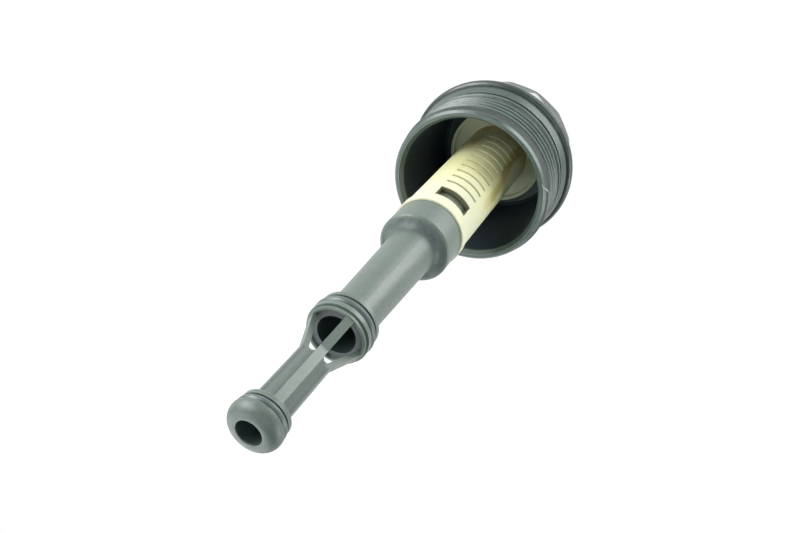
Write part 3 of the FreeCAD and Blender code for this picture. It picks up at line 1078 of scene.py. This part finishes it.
@dataclass(frozen=True)
class ValveInsert:
    """The slotted valve cage with its spring, and the plunger that slides in it."""

    plastic: CreamPlastic
    plunger_plastic: OiledPlastic
    wire: SpringWire

    def build(self, nodes: Nodes) -> None:
        """Gives the cage, the plunger and the spring their finishes.

        Args:
            nodes: The CAD nodes by name.
        """
        dress(nodes, Node.VALVE_CAGE, self.plastic.material())
        dress(nodes, Node.VALVE_PLUNGER, self.plunger_plastic.material())
        dress(nodes, Node.VALVE_SPRING, self.wire.material())


@dataclass(frozen=True)
class Standpipe:
    """The standpipe with its legs and nose, and the two seal rings on it."""

    plastic: GreyPlastic
    pipe_rubber: SealRubber
    nose_rubber: SealRubber

    def build(self, nodes: Nodes) -> None:
        """Gives the standpipe and its rings their finishes.

        Args:
            nodes: The CAD nodes by name.
        """
        dress(nodes, Node.STANDPIPE, self.plastic.material())
        dress(nodes, Node.PIPE_SEAL_RING, self.pipe_rubber.material())
        dress(nodes, Node.NOSE_SEAL_RING, self.nose_rubber.material())


@dataclass(frozen=True)
class Softbox:
    """A soft lamp that hangs round the object and faces it, or lies and faces up."""

    name: str
    azimuth: float
    elevation: float
    distance: float
    width: float
    height: float
    watts: float
    aim: Point = (0.0, 0.0, 0.09)
    faces_up: bool = False

    def hang(self) -> bpy.types.Object:
        """Makes the lamp.

        Returns:
            The lamp's object.
        """
        data = bpy.data.lights.new(self.name, "AREA")
        data.shape = "RECTANGLE"
        data.size = self.width
        data.size_y = self.height
        data.energy = self.watts
        lamp = bpy.data.objects.new(self.name, data)
        bpy.context.scene.collection.objects.link(lamp)
        up = math.radians(self.elevation)
        away = polar(self.distance * math.cos(up), self.azimuth, self.distance * math.sin(up))
        lamp.location = Vector(self.aim) + away
        lamp.rotation_mode = "QUATERNION"
        if self.faces_up:
            turn = Euler((math.pi, 0, math.radians(self.azimuth)))
            lamp.rotation_quaternion = turn.to_quaternion()
        else:
            lamp.rotation_quaternion = (-away).to_track_quat("-Z", "Y")
        lamp.visible_camera = False
        LOG.info("%s gives %.4g W", self.name, self.watts)
        return lamp


@dataclass(frozen=True)
class Viewpoint:
    """Where the photographer's camera stood, and which way its picture lies."""

    place: Point = (0.109196, -0.109616, 0.314752)
    forward: Point = (-0.43706, 0.43478, -0.78737)
    right: Point = (-0.15805, -0.89890, -0.40864)
    lens: float = 33.9075
    sensor: float = 36.0
    clip: Span = (0.01, 20.0)

    def camera(self) -> bpy.types.Object:
        """Makes the scene's camera.

        Returns:
            The camera.
        """
        data = bpy.data.cameras.new("photo_camera")
        data.sensor_fit = "HORIZONTAL"
        data.sensor_width = self.sensor
        data.lens = self.lens
        data.clip_start, data.clip_end = self.clip
        camera = bpy.data.objects.new("photo_camera", data)
        bpy.context.scene.collection.objects.link(camera)
        back = -Vector(self.forward).normalized()
        side = Vector(self.right)
        side = (side - back * side.dot(back)).normalized()
        turned = Matrix((side, back.cross(side), back)).transposed().to_4x4()
        camera.matrix_world = Matrix.Translation(Vector(self.place)) @ turned
        bpy.context.scene.camera = camera
        return camera


@dataclass(frozen=True)
class Studio:
    """The white floor, the surroundings' light and the soft lamps.

    The surroundings go from their low strength to their high one between two
    heights. Shine is what glossy faces mirror, and light is what falls on all.
    """

    lamps: tuple[Softbox, ...]
    floor_reach: float = 3.0
    floor_corners: int = 72
    floor_colour: Colour = (0.80, 0.80, 0.80)
    floor_dim: float = 0.985
    floor_clouds: Pattern = Pattern(60.0)
    floor_seen: float = 0.85
    floor_white: float = 1.12
    sky_heights: Span = (0.10, 0.62)
    sky_colour: Colour = (0.72, 0.93, 1.0)
    shine: Span = (0.80, 0.10)
    light: Span = (0.15, 0.18)

    def build(self) -> None:
        """Makes the floor, the surroundings and the lamps."""
        self.floor()
        self.world()
        for lamp in self.lamps:
            lamp.hang()

    @staticmethod
    def ray(sheet: Sheet, *kinds: Ray) -> Signal:
        """Is 1 for rays of the named kinds and 0 for the rest.

        Args:
            sheet: The node tree that asks.
            *kinds: The kinds of ray.

        Returns:
            The answer, 0 or 1.
        """
        return strongest(sheet.signal("ShaderNodeLightPath", output=kind.value) for kind in kinds)

    def floor(self) -> bpy.types.Object:
        """Lays the floor that the crown stands on.

        Returns:
            The floor.
        """
        sheet = Sheet("studio_paper")
        where = sheet.around()
        dim = tuple(channel * self.floor_dim for channel in self.floor_colour)
        colour = sheet.mix(sheet.noise(where.place, self.floor_clouds), dim, self.floor_colour)
        paper = sheet.signal("ShaderNodeBsdfDiffuse", None, {"Color": colour})
        glow = sheet.signal(
            "ShaderNodeEmission", None, {"Color": WHITE, "Strength": self.floor_white}
        )
        # The camera sees most of the glow and some of the object's shadow.
        seen = self.ray(sheet, Ray.CAMERA) * self.floor_seen
        share = seen.larger(self.ray(sheet, Ray.GLOSSY, Ray.TRANSMISSION))
        both = sheet.signal("ShaderNodeMixShader", None, {0: share, 1: paper, 2: glow})
        sheet.node("ShaderNodeOutputMaterial", None, {"Surface": both})
        made = bmesh.new()
        step = 360 / self.floor_corners
        made.faces.new(
            [
                made.verts.new(polar(self.floor_reach, corner * step, 0.0))
                for corner in range(self.floor_corners)
            ]
        )
        floor = place_mesh("studio_floor", made, sheet.owner)
        return floor

    def world(self) -> None:
        """Lights the surroundings, and shows them white to the camera."""
        sheet = Sheet("studio_world", world=True)
        bpy.context.scene.world = sheet.owner
        way = sheet.signal("ShaderNodeTexCoord", output="Generated")
        split = sheet.node("ShaderNodeSeparateXYZ", None, {0: way})
        high = Signal(sheet, split.outputs["Z"]).rise(*self.sky_heights)
        shine = self.shine[0] + high * (self.shine[1] - self.shine[0])
        light = self.light[0] + high * (self.light[1] - self.light[0])
        mirrored = self.ray(sheet, Ray.GLOSSY, Ray.TRANSMISSION)
        seen = self.ray(sheet, Ray.CAMERA)
        strength = (mirrored * shine + (1 - mirrored) * light) * (1 - seen) + seen
        colour = sheet.mix(high * (1 - seen), WHITE, self.sky_colour)
        sky = sheet.signal("ShaderNodeBackground", None, {"Color": colour, "Strength": strength})
        sheet.node("ShaderNodeOutputWorld", None, {"Surface": sky})


# Where the two small lamps lie that light the object from below.
UNDER: Point = (0.0, 0.0, 0.002)

# Azimuth, elevation, distance, width, height and watts of each lamp.
STUDIO = Studio(
    lamps=(
        Softbox("key_lamp", 30.0, 30.0, 0.60, 0.35, 0.35, 2.15),
        Softbox("low_key_lamp", 30.0, 8.0, 0.60, 0.35, 0.25, 1.55),
        Softbox("back_lamp", 120.0, 30.0, 0.60, 0.35, 0.35, 0.80),
        Softbox("far_lamp", 150.0, 30.0, 0.60, 0.35, 0.35, 0.95),
        Softbox("side_lamp", -120.0, 8.0, 0.60, 0.35, 0.25, 1.10),
        Softbox("top_lamp", 90.0, 62.0, 0.60, 0.35, 0.35, 0.85),
        Softbox("front_lamp", -70.0, 60.0, 0.60, 0.35, 0.35, 0.70),
        Softbox("crown_lamp", -38.0, 0.0, 0.033, 0.004, 0.036, 0.0013, UNDER, faces_up=True),
        Softbox("floor_lamp", -60.0, 0.0, 0.175, 0.17, 0.12, 0.31, UNDER, faces_up=True),
    ),
)

CAP_PLASTIC = GreyPlastic(
    name="cap_grey_plastic",
    colour=tone(68, 84, 75),
    cool=tone(66, 83, 80),
    wear_and_highlight_colour=tone(186, 200, 191),
    painted_shade_colour=tone(30, 40, 38),
    dark_inside=tone(31, 44, 58),
    roughness=0.36,
    specular=0.85,
    streak_run=(1.0, 1.0, 0.25),
    # Painted shade on the cup's inside.
    shaded_hollows=(ShadedHollow(28.9, 5.0, 47.0),),
    # Painted shade between the thread's turns, darker near the mouth.
    painted_shades=(
        ShadeBand(31.9, 44.6, 49.1, 0.9, outer_radius=32.35),
        ShadeBand(31.9, 30.0, 44.6, 0.5, outer_radius=32.35),
    ),
    # A painted highlight on the mouth's rim.
    painted_highlights=(PaintedHighlight(-58.0, 24.0, 31.3, 49.15, 49.95, 0.85),),
    # Pale edges: partly abrasion, partly a painted highlight on the thread's crests.
    wear_and_highlight=0.85,
    smooth_below=14.6,
    turned_from=30.0,
    turned_to=45.0,
)

# The lead edge is painted pale, as a painted highlight along it.
EDGE_HIGHLIGHT_PLASTIC = replace(
    CAP_PLASTIC,
    name="cap_edge_highlight_plastic",
    colour=tone(176, 190, 182),
    cool=tone(172, 188, 184),
    shaded_hollows=(),
    painted_shades=(),
    painted_highlights=(),
)

PIPE_PLASTIC = GreyPlastic(
    name="pipe_grey_plastic",
    colour=tone(98, 112, 99),
    cool=tone(97, 112, 107),
    wear_and_highlight_colour=tone(186, 200, 189),
    painted_shade_colour=tone(38, 53, 60),
    dark_inside=tone(48, 61, 61),
    roughness=0.42,
    specular=0.85,
    streak_run=(1.0, 1.0, 0.18),
    # Painted shade in the tube's bore, on its end inside the legs, and in the hole in nose and
    # stem.
    shaded_hollows=(
        ShadedHollow(6.6, 106.0, 160.9),
        ShadedHollow(9.0, 160.2, 160.9, 0.9),
        ShadedHollow(4.3, 176.0, 204.6),
    ),
    # Painted shade on the collar's shoulder, on the stem between its ribs, and on the nose.
    painted_shades=(
        ShadeBand(8.9, 104.8, 110.0, 0.6, patchy=0.6, outer_radius=11.8),
        ShadeBand(4.2, 173.5, 197.0, 0.3, outer_radius=4.9),
        ShadeBand(3.0, 201.6, 205.6, 0.16),
    ),
    # A painted highlight on the stem's ribs, all the way round.
    painted_highlights=(PaintedHighlight(0.0, 500.0, 5.1, 173.5, 197.0, 0.16),),
    # Pale edges: partly abrasion, partly a painted highlight on the ribs and edges.
    wear_and_highlight=0.25,
    speckle=0.55,
)

CAGE_PLASTIC = CreamPlastic(
    name="cage_cream_plastic",
    clean=tone(232, 232, 200),
    yellowed=tone(241, 239, 180),
    # Painted light low on the cage, where little light reaches into the cup.
    painted_light_yellow=tone(244, 240, 190),
    brown=tone(192, 166, 78),
    dark_inside=tone(84, 86, 62),
    # Painted shade on the disc.
    disc_painted_shade=tone(192, 200, 166),
    # On either side of the near window's slits.
    stains=(Stain(-72.0, 11.0, 62.0, 20.0), Stain(9.0, 15.0, 37.0)),
)

# The plunger's colour is painted lighter than its dark plastic, as painted light where little
# light reaches it inside the cage.
PLUNGER_PLASTIC = OiledPlastic(
    name="plunger_lightened_plastic", colour=tone(126, 133, 120), oil=tone(104, 108, 84)
)

SPRING_STEEL = SpringWire(
    name="spring_steel_wire", colour=tone(180, 180, 176), oil=tone(120, 104, 70)
)

CAP_RUBBER = SealRubber(
    name="cap_seal_rubber",
    colour=tone(40, 55, 51),
    dust=tone(84, 94, 88),
    roughness=0.36,
    joint_height=20.95,
)

PIPE_RUBBER = SealRubber(
    name="pipe_ring_rubber",
    colour=tone(73, 90, 87),
    dust=tone(116, 126, 120),
    roughness=0.38,
    joint_height=156.45,
)

NOSE_RUBBER = SealRubber(
    name="nose_ring_rubber",
    colour=tone(76, 93, 90),
    dust=tone(120, 130, 124),
    roughness=0.38,
    joint_height=200.1,
)


def main() -> None:
    """Dresses the frame, adds the lead edge, lights the studio and sets the camera."""
    logging.basicConfig(level=logging.INFO, format="%(name)s: %(message)s")
    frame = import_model()
    nodes = frame["nodes"]
    ScrewCap(CAP_PLASTIC, EDGE_HIGHLIGHT_PLASTIC, CAP_RUBBER).build(nodes)
    ValveInsert(CAGE_PLASTIC, PLUNGER_PLASTIC, SPRING_STEEL).build(nodes)
    Standpipe(PIPE_PLASTIC, PIPE_RUBBER, NOSE_RUBBER).build(nodes)
    STUDIO.build()
    Viewpoint().camera()
    bpy.context.scene.view_settings.view_transform = "Standard"


if __name__ == "__main__":
    main()
